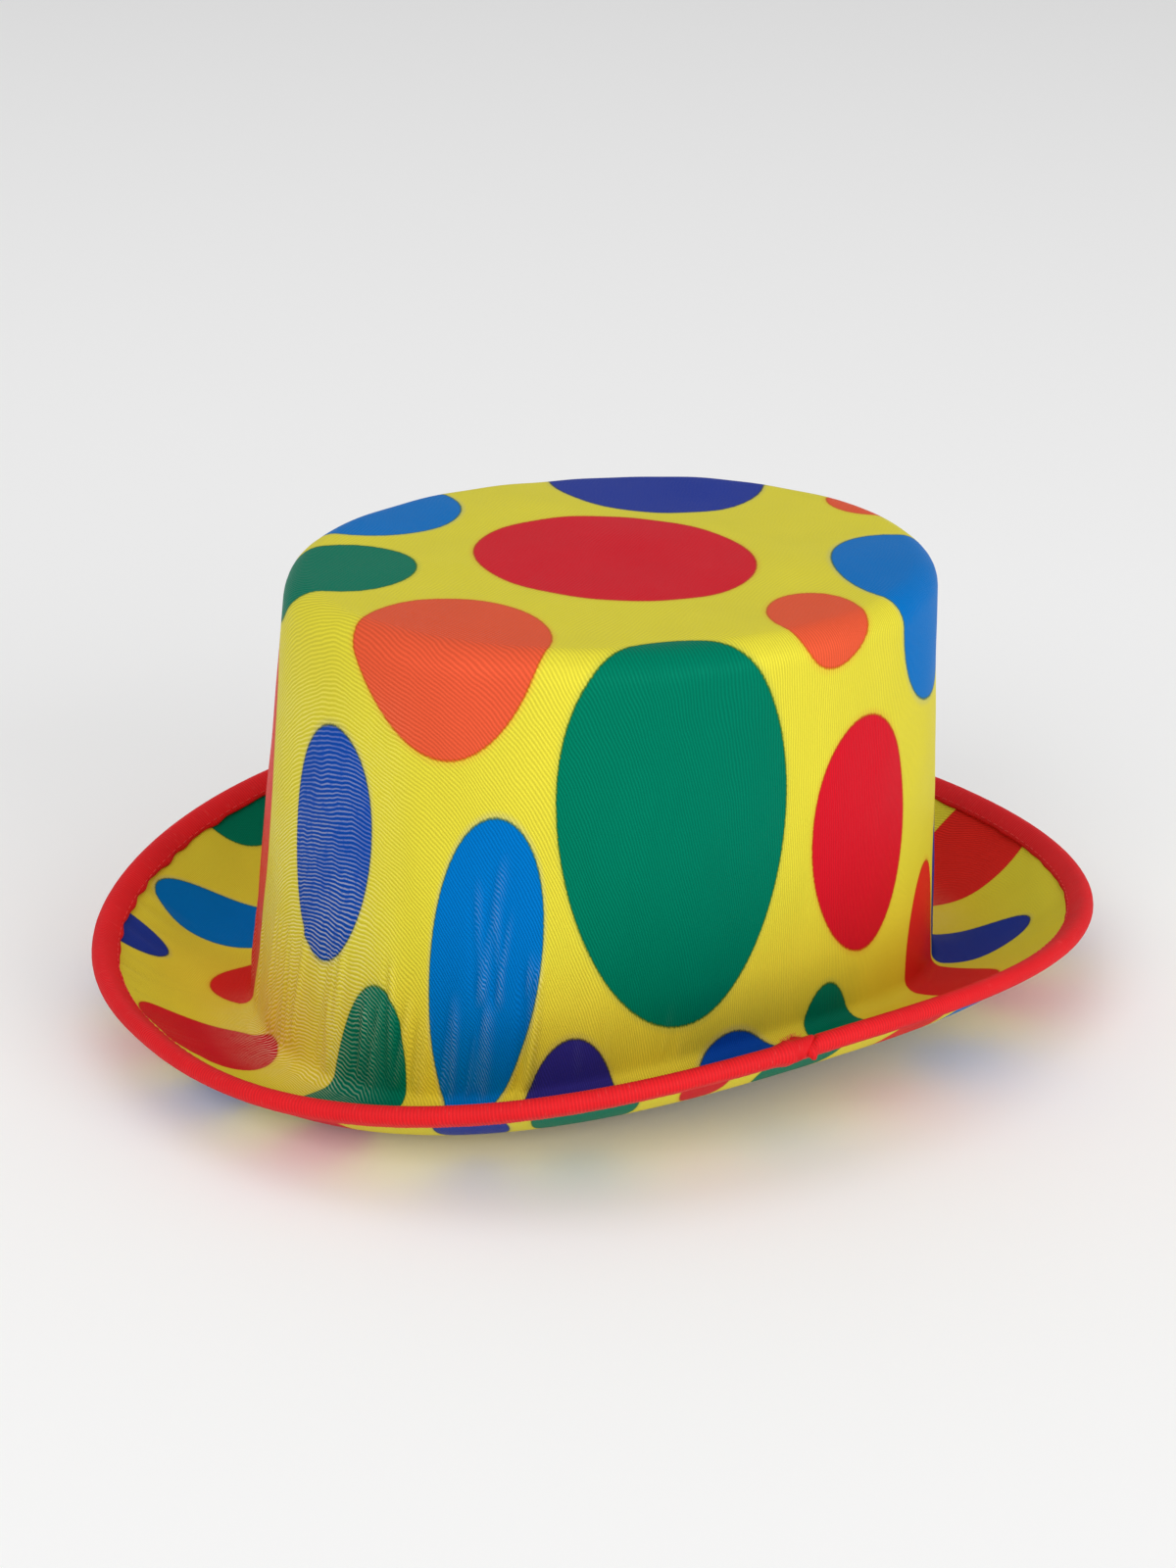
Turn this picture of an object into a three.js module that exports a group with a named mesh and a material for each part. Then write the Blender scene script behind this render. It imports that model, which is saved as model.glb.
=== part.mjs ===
// A costume top hat: a crown and a curled brim pressed from one printed sheet, with a folded tape
// bound over the brim's edge. Millimetres and degrees, +Z up, the front of the hat to -Y.
// The origin is under the middle of the hat, level with the lowest part of the brim.

import * as THREE from 'three';

// Crown, measured on its outer face
const crownBaseLength = 212;
const crownBaseWidth = 169;
const crownTopLength = 191;
const crownTopWidth = 165;
const crownHeight = 129;
const crownLeanBack = 2.5;
const crownEdgeRadius = 8;
const brimFoldRadius = 4;

// Foam sheet with printed satin on both faces
const sheetThickness = 2;

// Brim: how far it reaches out from the crown, and how high its rim stands above the fold
const brimReachFront = 42;
const brimReachBack = 44;
const brimReachSide = 38.5;
const brimRiseFront = 19.5;
const brimRiseBack = 22;
const brimRiseSide = 20.5;

// The fold at the sides lies this much higher than at the front and back, where the hat rests
const brimSideLift = 14;

// Slopes of the brim's upper face where it leaves the crown and where it meets the rim
const brimStartSlopeEnds = 0;
const brimStartSlopeSides = -6;
const brimRimSlopeEnds = 36;
const brimRimSlopeSides = 32;

// Shares of the straight way across the brim over which it holds its start and rim slopes
const brimStartPull = 0.46;
const brimRimPull = 0.22;

// Tape folded over the rim. Its free end lies on top of its start.
const tapeThickness = 1;
const tapeLeg = 5.4;
const tapeClearance = 0.3;
const tapeEndAngle = 95.8;
const tapeLapLength = 9;
const tapeRampLength = 5;

// An oval of fullness 2 is an ellipse, and a higher one is squarer at its corners
const crownTopFullness = 2.02;
const crownBaseFullness = 2.1;
const rimFullness = 2.19;

// A higher power keeps the front and back dips of the brim flatter
const saddlePower = 3;

// Facets
const sectionsAround = 72;
const crownEdgeSteps = 4;
const wallSteps = 3;
const brimFoldSteps = 3;
const brimSteps = 9;
const tapeLegSteps = 2;
const tapeFoldSteps = 6;

// Places worked out from the sizes
const foldHeight = sheetThickness;
const crownTop = foldHeight + crownHeight;
const crownMiddle = (brimReachFront - brimReachBack) / 2;
const tapeOffset = tapeClearance + tapeThickness;
const fullTurn = 2 * Math.PI;
const sectionStep = fullTurn / sectionsAround;

const radians = THREE.MathUtils.degToRad;

// A point on an oval seen from above. The angle runs from the back (+Y) towards +X.
function oval(angle, halfLength, halfWidth, fullness, middle, height) {
  const sine = Math.sin(angle);
  const cosine = Math.cos(angle);
  const scale = (Math.abs(cosine) ** fullness + Math.abs(sine) ** fullness) ** (-1 / fullness);
  return new THREE.Vector3(halfWidth * sine * scale, middle + halfLength * cosine * scale, height);
}

// 0 at the front and back, 1 at the sides
function sideShare(angle) {
  return Math.abs(Math.sin(angle)) ** saddlePower;
}

function foldLine(angle) {
  const height = foldHeight + brimSideLift * sideShare(angle);
  return oval(angle, crownBaseLength / 2, crownBaseWidth / 2, crownBaseFullness, crownMiddle, height);
}

function crownEdge(angle) {
  const middle = crownMiddle + crownLeanBack;
  return oval(angle, crownTopLength / 2, crownTopWidth / 2, crownTopFullness, middle, crownTop);
}

// Outside of the bound rim
function rimLine(angle) {
  const atFront = Math.cos(angle) < 0;
  const reach = atFront ? brimReachFront : brimReachBack;
  const endRise = atFront ? brimRiseFront : brimRiseBack;
  const rise = THREE.MathUtils.lerp(endRise, brimSideLift + brimRiseSide, sideShare(angle));
  const halfLength = crownBaseLength / 2 + reach;
  const halfWidth = crownBaseWidth / 2 + brimReachSide;
  return oval(angle, halfLength, halfWidth, rimFullness, crownMiddle, foldHeight + rise);
}

// A unit vector that leans up by a slope from a level direction
function sloped(level, slope) {
  return level.clone().multiplyScalar(Math.cos(slope)).setZ(Math.sin(slope));
}

// Stations on a round corner, from the line that comes in to the line that goes out. Both
// directions are unit vectors that point away from the corner.
function roundCorner(corner, incoming, outgoing, radius, steps) {
  const turn = Math.PI - incoming.angleTo(outgoing);
  const middleway = incoming.clone().add(outgoing).normalize();
  const centre = corner.clone().addScaledVector(middleway, radius / Math.cos(turn / 2));
  const start = corner.clone().addScaledVector(incoming, radius * Math.tan(turn / 2));
  const spoke = start.clone().sub(centre).normalize();
  const ahead = incoming.clone().negate();
  const stations = [];
  for (let step = 0; step <= steps; step += 1) {
    const swept = (turn * step) / steps;
    const point = centre.clone();
    point.addScaledVector(spoke, radius * Math.cos(swept));
    point.addScaledVector(ahead, radius * Math.sin(swept));
    const along = ahead.clone().multiplyScalar(Math.cos(swept));
    along.addScaledVector(spoke, -Math.sin(swept));
    stations.push({ point, along });
  }
  return stations;
}

// The rounded fold between the wall and the brim, and the curve of the brim's upper face
function brimSection(angle) {
  const fold = foldLine(angle);
  const rim = rimLine(angle);
  const side = sideShare(angle);
  const outward = rim.clone().sub(fold).setZ(0).normalize();
  const startSlope = radians(THREE.MathUtils.lerp(brimStartSlopeEnds, brimStartSlopeSides, side));
  const rimSlope = radians(THREE.MathUtils.lerp(brimRimSlopeEnds, brimRimSlopeSides, side));
  const leaving = sloped(outward, startSlope);
  const arriving = sloped(outward, rimSlope);
  const upWall = crownEdge(angle).sub(fold).normalize();
  const foldStations = roundCorner(fold, upWall, leaving, brimFoldRadius, brimFoldSteps);
  const start = foldStations[foldStations.length - 1].point;
  const edge = rim.addScaledVector(arriving, -tapeOffset);
  const across = start.distanceTo(edge);
  const startHandle = start.clone().addScaledVector(leaving, brimStartPull * across);
  const rimHandle = edge.clone().addScaledVector(arriving, -brimRimPull * across);
  const curve = new THREE.CubicBezierCurve3(start, startHandle, rimHandle, edge);
  return { foldStations, curve, upWall };
}

// Stations on the outer face, from the edge of the flat top down the wall and out to the rim
function shellStations(angle) {
  const { foldStations, curve, upWall } = brimSection(angle);
  const edge = crownEdge(angle);
  const towardsMiddle = topMiddle().sub(edge).normalize();
  const downWall = upWall.clone().negate();
  const stations = roundCorner(edge, towardsMiddle, downWall, crownEdgeRadius, crownEdgeSteps);
  const wallStart = stations[stations.length - 1].point;
  const wallEnd = foldStations[0].point;
  for (let step = 1; step < wallSteps; step += 1) {
    stations.push({ point: wallStart.clone().lerp(wallEnd, step / wallSteps), along: downWall });
  }
  stations.push(...foldStations);
  for (let step = 1; step <= brimSteps; step += 1) {
    const share = step / brimSteps;
    stations.push({ point: curve.getPoint(share), along: curve.getTangent(share) });
  }
  return stations;
}

function topMiddle() {
  return new THREE.Vector3(0, crownMiddle + crownLeanBack, crownTop);
}

// Stations on the brim's upper face that the tape covers, from its inner edge out to the rim
function tapeStations(angle) {
  const { curve } = brimSection(angle);
  const length = curve.getLength();
  const stations = [];
  for (let step = 0; step <= tapeLegSteps; step += 1) {
    const fromRim = tapeLeg * (1 - step / tapeLegSteps);
    const share = 1 - fromRim / length;
    stations.push({ point: curve.getPointAt(share), along: curve.getTangentAt(share) });
  }
  return stations;
}

// The same stations with the direction that points out of the upper or outer face
function facing(stationsAt, angle) {
  const before = stationsAt(angle - sectionStep / 2);
  const after = stationsAt(angle + sectionStep / 2);
  return stationsAt(angle).map(({ point, along }, index) => {
    const around = after[index].point.clone().sub(before[index].point);
    const out = around.cross(along).normalize();
    return { point, along, out };
  });
}

function offsetPoint(station, distance) {
  return station.point.clone().addScaledVector(station.out, distance);
}

// Collects points and faces of one closed body
class Body {
  constructor() {
    this.positions = [];
    this.faces = [];
  }

  add(point) {
    this.positions.push(point.x, point.y, point.z);
    return this.positions.length / 3 - 1;
  }

  addRow(points) {
    return points.map((point) => this.add(point));
  }

  quad(a, b, c, d) {
    this.faces.push(a, b, c, a, c, d);
  }

  strip(row, nextRow) {
    for (let index = 0; index + 1 < row.length; index += 1) {
      this.quad(row[index], nextRow[index], nextRow[index + 1], row[index + 1]);
    }
  }

  mesh(name, colour, roughness) {
    const geometry = new THREE.BufferGeometry();
    geometry.setAttribute('position', new THREE.Float32BufferAttribute(this.positions, 3));
    geometry.setIndex(this.faces);
    geometry.computeVertexNormals();
    const material = new THREE.MeshStandardMaterial({ color: colour, roughness, metalness: 0 });
    const mesh = new THREE.Mesh(geometry, material);
    mesh.name = name;
    return mesh;
  }
}

// Crown and brim: the outer face and the inner face of one sheet, joined round the rim
function makeShell() {
  const body = new Body();
  const rows = [];
  for (let index = 0; index < sectionsAround; index += 1) {
    const stations = facing(shellStations, index * sectionStep);
    const outerFace = stations.map((station) => station.point);
    const innerFace = stations.map((station) => offsetPoint(station, -sheetThickness));
    rows.push(body.addRow([...outerFace, ...innerFace.reverse()]));
  }
  const outerMiddle = body.add(topMiddle());
  const innerMiddle = body.add(topMiddle().setZ(crownTop - sheetThickness));
  const last = rows[0].length - 1;
  rows.forEach((row, index) => {
    const nextRow = rows[(index + 1) % sectionsAround];
    body.strip(row, nextRow);
    body.faces.push(outerMiddle, nextRow[0], row[0]);
    body.faces.push(innerMiddle, row[last], nextRow[last]);
  });
  return body.mesh('hat_shell', 0xd6c938, 0.55);
}

// One face of the folded tape at a distance from the sheet: down the upper leg, round the rim's
// edge and back along the lower leg
function tapeFace(angle, distance) {
  const stations = facing(tapeStations, angle);
  const atRim = stations[stations.length - 1];
  const middle = offsetPoint(atRim, -sheetThickness / 2);
  const radius = sheetThickness / 2 + distance;
  const points = stations.slice(0, -1).map((station) => offsetPoint(station, distance));
  for (let step = 0; step <= tapeFoldSteps; step += 1) {
    const turned = (Math.PI * step) / tapeFoldSteps;
    const point = middle.clone().addScaledVector(atRim.out, radius * Math.cos(turned));
    points.push(point.addScaledVector(atRim.along, radius * Math.sin(turned)));
  }
  const lowerLeg = stations.slice(0, -1).reverse();
  points.push(...lowerLeg.map((station) => offsetPoint(station, -sheetThickness - distance)));
  return points;
}

// How far the tape turns for a length of it laid along the side of the rim
function tapeTurn(length) {
  return length / (crownBaseWidth / 2 + brimReachSide);
}

// Angles from the tape's start to its end. The lapped stretch has the same facets in both layers.
function tapeAngles() {
  const lap = tapeTurn(tapeLapLength);
  const angles = [0, lap];
  const rampStart = fullTurn - tapeTurn(tapeRampLength);
  for (let turned = sectionStep; turned < rampStart; turned += sectionStep) {
    if (turned > lap) angles.push(turned);
  }
  angles.push(rampStart, fullTurn - tapeTurn(tapeClearance), fullTurn, fullTurn + lap);
  return angles;
}

// The tape lies on the sheet until it climbs over its own start
function tapeLift(turned) {
  const rampStart = fullTurn - tapeTurn(tapeRampLength);
  const rampEnd = fullTurn - tapeTurn(tapeClearance);
  return tapeOffset * THREE.MathUtils.smoothstep(turned, rampStart, rampEnd);
}

// The tape runs from its start towards smaller angles, and its rows are made from its end back
function makeBinding() {
  const body = new Body();
  const innerRows = [];
  const outerRows = [];
  const whole = fullTurn + tapeTurn(tapeLapLength);
  for (const turned of tapeAngles().reverse()) {
    const angle = radians(tapeEndAngle) + whole - turned;
    const nearSheet = tapeClearance + tapeLift(turned);
    innerRows.push(body.addRow(tapeFace(angle, nearSheet)));
    outerRows.push(body.addRow(tapeFace(angle, nearSheet + tapeThickness)));
  }
  const lastRow = outerRows.length - 1;
  const lastPoint = outerRows[0].length - 1;
  for (let index = 0; index < lastRow; index += 1) {
    body.strip(outerRows[index], outerRows[index + 1]);
    body.strip(innerRows[index + 1], innerRows[index]);
    const here = [innerRows[index], outerRows[index]];
    const next = [innerRows[index + 1], outerRows[index + 1]];
    body.quad(here[0][0], next[0][0], next[1][0], here[1][0]);
    body.quad(here[0][lastPoint], here[1][lastPoint], next[1][lastPoint], next[0][lastPoint]);
  }
  body.strip(innerRows[0], outerRows[0]);
  body.strip(outerRows[lastRow], innerRows[lastRow]);
  return body.mesh('brim_binding', 0xc8202c, 0.7);
}

const hat = new THREE.Group();
hat.add(makeShell(), makeBinding());

export default hat;
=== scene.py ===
# %% [markdown]
# # A clown's top hat with polka dots
#
# The real hat is two pieces of cloth work. A thin sheet of foam with printed satin on both faces is
# heated and pressed over a mould, which gives the crown, the rounded top edge and the curled brim in
# one piece. A red tape is then folded over the raw edge of the brim and sewn on.
#
# The construction model already holds both pieces at their real size. This lesson dresses them: it
# remakes the pressed sheet finely enough to carry soft creases and a crisp print, and the tape with
# its ribs, its stitches and the frayed join.

# %% Load the construction model
import math

import bpy
import numpy as np
from mathutils import Matrix, Vector


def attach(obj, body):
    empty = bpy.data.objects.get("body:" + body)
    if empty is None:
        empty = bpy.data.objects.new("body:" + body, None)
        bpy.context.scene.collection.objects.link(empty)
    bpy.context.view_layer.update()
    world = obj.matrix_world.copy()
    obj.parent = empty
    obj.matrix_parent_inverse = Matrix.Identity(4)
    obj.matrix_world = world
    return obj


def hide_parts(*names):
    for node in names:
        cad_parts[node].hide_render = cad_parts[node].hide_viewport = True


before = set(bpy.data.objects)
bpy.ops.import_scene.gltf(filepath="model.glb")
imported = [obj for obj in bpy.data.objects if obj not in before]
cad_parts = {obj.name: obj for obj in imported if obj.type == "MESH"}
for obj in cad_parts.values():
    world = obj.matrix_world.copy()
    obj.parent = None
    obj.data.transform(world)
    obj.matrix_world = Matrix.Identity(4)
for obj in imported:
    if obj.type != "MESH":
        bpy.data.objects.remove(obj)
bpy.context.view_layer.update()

# %% [markdown]
# ## Sizes
#
# All the working here is in millimetres, and one factor turns a finished mesh into Blender's metres.
# The lengths are those of the construction model, so the finely made pieces lie exactly on it. The
# front of the hat points to -Y and its right side, seen from the front, to +X. Directions round the
# hat are degrees from the back towards +X.

# %% Sizes of the hat
MM = 0.001

CROWN_BASE_LENGTH = 212
CROWN_BASE_WIDTH = 169
CROWN_TOP_LENGTH = 191
CROWN_TOP_WIDTH = 165
CROWN_HEIGHT = 129
CROWN_LEAN_BACK = 2.5
CROWN_EDGE_RADIUS = 8
BRIM_FOLD_RADIUS = 4
SHEET_THICKNESS = 2

BRIM_REACH_FRONT = 42
BRIM_REACH_BACK = 44
BRIM_REACH_SIDE = 38.5
BRIM_RISE_FRONT = 19.5
BRIM_RISE_BACK = 22
BRIM_RISE_SIDE = 20.5
BRIM_SIDE_LIFT = 14
BRIM_START_SLOPE_SIDES = -6
BRIM_RIM_SLOPE_ENDS = 36
BRIM_RIM_SLOPE_SIDES = 32
BRIM_START_PULL = 0.46
BRIM_RIM_PULL = 0.22

CROWN_TOP_FULLNESS = 2.02
CROWN_BASE_FULLNESS = 2.1
RIM_FULLNESS = 2.19
SADDLE_POWER = 3

TAPE_THICKNESS = 1
TAPE_CLEARANCE = 0.3
TAPE_OFFSET = TAPE_THICKNESS + TAPE_CLEARANCE
TAPE_LEG = 5.4

FULL_TURN = 2 * math.pi
CROWN_MIDDLE = (BRIM_REACH_FRONT - BRIM_REACH_BACK) / 2
CROWN_TOP = SHEET_THICKNESS + CROWN_HEIGHT
TOP_CENTRE = np.array([0, CROWN_MIDDLE + CROWN_LEAN_BACK, CROWN_TOP])
UP = np.array([0, 0, 1.0])

# %% [markdown]
# ## The camera
#
# The photograph was taken from the front right of the hat with a long lens, looking down at about
# twenty-two degrees. The camera comes first, because every later choice is judged through it. Its
# place is given the way a photographer would say it: which way it stands, how high, how far off.

# %% Camera at the photograph's angle
CAMERA_AZIMUTH = math.radians(55.68)
CAMERA_ELEVATION = math.radians(22.2)
CAMERA_ROLL = math.radians(-1.22)
CAMERA_DISTANCE = 861.7
CAMERA_LEFT = 5.1
CAMERA_RAISE = 56.8
SENSOR_HEIGHT = 36
FOCAL_LENGTH = 66.14

level_back = Vector((math.sin(CAMERA_AZIMUTH), -math.cos(CAMERA_AZIMUTH), 0))
camera_back = level_back * math.cos(CAMERA_ELEVATION) + Vector((0, 0, math.sin(CAMERA_ELEVATION)))
level_right = Vector((math.cos(CAMERA_AZIMUTH), math.sin(CAMERA_AZIMUTH), 0))
level_up = camera_back.cross(level_right)
camera_right = level_right * math.cos(CAMERA_ROLL) - level_up * math.sin(CAMERA_ROLL)
camera_up = level_right * math.sin(CAMERA_ROLL) + level_up * math.cos(CAMERA_ROLL)
camera_place = camera_back * CAMERA_DISTANCE - level_right * CAMERA_LEFT + level_up * CAMERA_RAISE

camera = bpy.data.objects.new("camera", bpy.data.cameras.new("camera"))
bpy.context.scene.collection.objects.link(camera)
camera.data.sensor_fit = "VERTICAL"
camera.data.sensor_height = SENSOR_HEIGHT
camera.data.lens = FOCAL_LENGTH
turned_axes = Matrix((camera_right, camera_up, camera_back)).transposed()
camera.matrix_world = Matrix.Translation(camera_place * MM) @ turned_axes.to_4x4()
bpy.context.scene.camera = camera
print("camera stands at, mm:", [round(value) for value in camera_place])

# %% [markdown]
# ## The pressed form
#
# The mould gives the hat three guiding lines, all ovals seen from above: the edge of the flat top,
# the fold where the wall meets the brim, and the rim. The fold and the rim dip at the front and back
# and rise at the sides, which is what curls the brim. Each section of the hat, cut from the middle
# outwards, is a straight top, a rounded edge, a straight wall, a tight fold and a curved brim.
#
# The sections could be traced by hand, but a rule is better here: with numpy one function works out
# every section at once, and the print and the tape can use the same lines.

# %% Guiding lines
def unit(vectors):
    return vectors / np.linalg.norm(vectors, axis=-1, keepdims=True)


def column(values):
    return np.asarray(values)[..., None]


def oval(turns, half_length, half_width, fullness, middle, height):
    sine = np.sin(turns)
    cosine = np.cos(turns)
    scale = (np.abs(cosine) ** fullness + np.abs(sine) ** fullness) ** (-1 / fullness)
    across = half_width * sine * scale
    along = middle + half_length * cosine * scale
    return np.stack([across, along, np.broadcast_to(height, turns.shape)], axis=-1)


def side_share(turns):
    return np.abs(np.sin(turns)) ** SADDLE_POWER


def crown_edge(turns):
    middle = TOP_CENTRE[1]
    return oval(turns, CROWN_TOP_LENGTH / 2, CROWN_TOP_WIDTH / 2, CROWN_TOP_FULLNESS, middle, CROWN_TOP)


def fold_line(turns):
    height = SHEET_THICKNESS + BRIM_SIDE_LIFT * side_share(turns)
    half_length = CROWN_BASE_LENGTH / 2
    return oval(turns, half_length, CROWN_BASE_WIDTH / 2, CROWN_BASE_FULLNESS, CROWN_MIDDLE, height)


def rim_line(turns):
    at_front = np.cos(turns) < 0
    reach = np.where(at_front, BRIM_REACH_FRONT, BRIM_REACH_BACK)
    end_rise = np.where(at_front, BRIM_RISE_FRONT, BRIM_RISE_BACK)
    rise = end_rise + (BRIM_SIDE_LIFT + BRIM_RISE_SIDE - end_rise) * side_share(turns)
    half_length = CROWN_BASE_LENGTH / 2 + reach
    half_width = CROWN_BASE_WIDTH / 2 + BRIM_REACH_SIDE
    return oval(turns, half_length, half_width, RIM_FULLNESS, CROWN_MIDDLE, SHEET_THICKNESS + rise)


print("rim stands", round(float(rim_line(np.array([math.pi / 2]))[0, 2]), 1), "mm high at the sides")

# %% Rounded corners and the brim's curve
def round_corner(corner, incoming, outgoing, radius, steps):
    """Rows of points, and of the directions along them, round a corner between two straight lines."""
    turn = math.pi - np.arccos(np.clip((incoming * outgoing).sum(-1), -1, 1))
    centre = corner + unit(incoming + outgoing) * column(radius / np.cos(turn / 2))
    start = corner + incoming * column(radius * np.tan(turn / 2))
    spoke = unit(start - centre)
    points = []
    along = []
    for step in range(steps + 1):
        swept = column(turn * step / steps)
        points.append(centre + radius * (spoke * np.cos(swept) - incoming * np.sin(swept)))
        along.append(-incoming * np.cos(swept) - spoke * np.sin(swept))
    return points, along


def sloped(level, slope):
    return level * np.cos(slope) + UP * np.sin(slope)


def brim_lines(turns, fold_steps=6):
    """The fold's rows, and the four points that guide the brim's curve at each turn."""
    fold = fold_line(turns)
    rim = rim_line(turns)
    side = side_share(turns)
    outward = unit((rim - fold) * np.array([1, 1, 0]))
    rim_slope = BRIM_RIM_SLOPE_ENDS + (BRIM_RIM_SLOPE_SIDES - BRIM_RIM_SLOPE_ENDS) * side
    leaving = sloped(outward, column(np.radians(BRIM_START_SLOPE_SIDES * side)))
    arriving = sloped(outward, column(np.radians(rim_slope)))
    up_wall = unit(crown_edge(turns) - fold)
    rows, along = round_corner(fold, up_wall, leaving, BRIM_FOLD_RADIUS, fold_steps)
    start = rows[-1]
    edge = rim - arriving * TAPE_OFFSET
    across = column(np.linalg.norm(edge - start, axis=-1))
    after_start = start + leaving * BRIM_START_PULL * across
    before_edge = edge - arriving * BRIM_RIM_PULL * across
    return rows, along, [start, after_start, before_edge, edge]


def brim_point(guides, share):
    rest = 1 - share
    return (rest**3 * guides[0] + 3 * rest * rest * share * guides[1]
            + 3 * rest * share * share * guides[2] + share**3 * guides[3])


def brim_direction(guides, share):
    rest = 1 - share
    return unit(rest * rest * (guides[1] - guides[0]) + 2 * rest * share * (guides[2] - guides[1])
                + share * share * (guides[3] - guides[2]))


front_guides = brim_lines(np.array([math.pi]))[2]
front_rise = float(front_guides[3][0, 2] - front_guides[0][0, 2])
print("the brim's curve rises", round(front_rise, 1), "mm at the front")


# %% Whole sections of the sheet
def sheet_sections(turns, steps):
    """Rows from the middle of the top out to the rim, with their directions, normals and row marks."""
    top_steps, edge_steps, wall_steps, brim_steps = steps
    edge = crown_edge(turns)
    fold_rows, fold_along, guides = brim_lines(turns)
    down_wall = unit(fold_line(turns) - edge)
    inward = unit(TOP_CENTRE - edge)
    edge_rows, edge_along = round_corner(edge, inward, down_wall, CROWN_EDGE_RADIUS, edge_steps)
    points = [TOP_CENTRE + (edge_rows[0] - TOP_CENTRE) * step / top_steps for step in range(top_steps)]
    along = [-inward] * top_steps
    marks = {"edge": len(points)}
    points += edge_rows
    along += edge_along
    for step in range(1, wall_steps):
        points.append(edge_rows[-1] + (fold_rows[0] - edge_rows[-1]) * step / wall_steps)
        along.append(down_wall)
    marks["fold"] = len(points)
    points += fold_rows
    along += fold_along
    marks["brim"] = len(points) - 1
    for step in range(1, brim_steps + 1):
        points.append(brim_point(guides, step / brim_steps))
        along.append(brim_direction(guides, step / brim_steps))
    points = np.array(points)
    around = np.roll(points, -1, axis=1) - np.roll(points, 1, axis=1)
    around[0] = around[1]
    normals = unit(np.cross(around, np.array(along)))
    return points, normals, marks


trial_turns = np.linspace(0, FULL_TURN, 72, endpoint=False)
trial_points, _, trial_marks = sheet_sections(trial_turns, (4, 4, 4, 4))
print("a coarse sheet has", len(trial_points), "rows, and its fold begins at row", trial_marks["fold"])


# %% [markdown]
# ## The print as flat cloth
#
# The dots were printed while the cloth was flat, and the mould stretched them: a round dot becomes a
# tall one on the wall, and a dot over the top edge becomes a shield. Painting stretched shapes would
# be guesswork, so the script unrolls each section instead. Going down the wall, the flat cloth grows
# by less than the wall does, because the rest of the length came from stretching. A dot is then
# almost a circle in the flat cloth, and the stretch shapes it as the mould did.

# %% Flat place of every point
WALL_TAKE = 0.7
BRIM_TAKE = 1.0


def flat_places(points, marks):
    """Where each point lay in the flat cloth, in mm from the middle of the top."""
    centre = TOP_CENTRE[:2]
    edge = points[marks["edge"], :, :2]
    around = np.roll(edge, -1, axis=0) - np.roll(edge, 1, axis=0)
    outward = unit(np.stack([around[:, 1], -around[:, 0]], axis=-1))
    outward = outward * np.sign(column((outward * (edge - centre)).sum(-1)))
    flat = points[:, :, :2] - centre
    extra = np.zeros(points.shape[1])
    for row in range(marks["edge"] + 1, len(points)):
        take = WALL_TAKE if row <= marks["brim"] else BRIM_TAKE
        extra = extra + take * np.linalg.norm(points[row] - points[row - 1], axis=-1)
        flat[row] = edge - centre + outward * column(extra)
    return flat


print("the flat cloth grows by", WALL_TAKE, "mm for each mm down the wall")


# %% [markdown]
# ## The chart of dots
#
# The dots show no strict repeat, so they are listed in a chart, one row for each: the direction from
# the middle of the top, the reach from there, half the size outwards and across, how far the dot is
# turned, and its ink. The side that the photograph shows follows it. The far side carries on in the
# same sizes and spacing, and the underside of the brim has a chart of its own.

# %% Chart of dots and inks
INKS = {
    "crimson": (206, 24, 40),
    "orange": (220, 86, 54),
    "red": (216, 40, 34),
    "green": (0, 114, 88),
    "azure": (0, 110, 188),
    "blue": (12, 72, 168),
    "navy": (32, 54, 146),
    "purple": (50, 42, 126),
}

# direction deg, reach mm, half outward mm, half across mm, turned deg, ink
OUTER_DOTS = [
    (132, 2, 37, 41, -27, "crimson"),
    (313, 81, 38, 33, 22, "navy"),
    (243, 81.5, 26, 26, 0, "azure"),
    (202, 78, 21.5, 20.5, 33, "green"),
    (155, 82, 25, 29.5, -43, "orange"),
    (75.5, 71, 13, 17.5, 38, "orange"),
    (38.5, 84.5, 23, 32.5, 15, "azure"),
    (357, 98, 14.5, 14, 0, "orange"),
    (171.5, 134.5, 23, 24.5, -24, "blue"),
    (138, 147, 30.5, 23.5, 0, "azure"),
    (109.2, 113.5, 36.5, 41.5, -44, "green"),
    (71.5, 123.5, 24, 27, -25, "crimson"),
    (156.5, 189, 32, 26, -3, "green"),
    (121.5, 180.5, 24.5, 24, -13, "purple"),
    (96.5, 186, 31, 31, 0, "blue"),
    (80, 171, 20, 16.5, 0, "green"),
    (50, 167, 23.5, 23.5, 0, "red"),
    (5, 211, 31.5, 35, 0, "red"),
    (32, 171, 36, 25, 10, "navy"),
    (247, 213, 24.5, 24, -39, "green"),
    (227.5, 183, 27.5, 17.5, 12, "azure"),
    (214, 221, 20, 14, 13, "navy"),
    (187.5, 198.5, 36, 17.2, -78, "crimson"),
    (208.4, 144, 44.5, 31.8, -4, "red"),
    (236, 136, 22, 20, 0, "orange"),
    (262, 123, 25, 25, 8, "crimson"),
    (285, 128, 21, 22, 0, "green"),
    (335, 137, 25, 23, -10, "azure"),
    (310, 150, 24, 26, 15, "orange"),
    (1, 142, 23, 22, 0, "purple"),
    (20, 126, 15, 14, 0, "green"),
    (259, 168, 22, 22, 0, "blue"),
    (281, 173, 24, 23, 10, "purple"),
    (303, 196, 26, 25, 0, "azure"),
    (325, 191, 24, 24, -20, "crimson"),
    (344, 184, 21, 22, 0, "green"),
]

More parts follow.
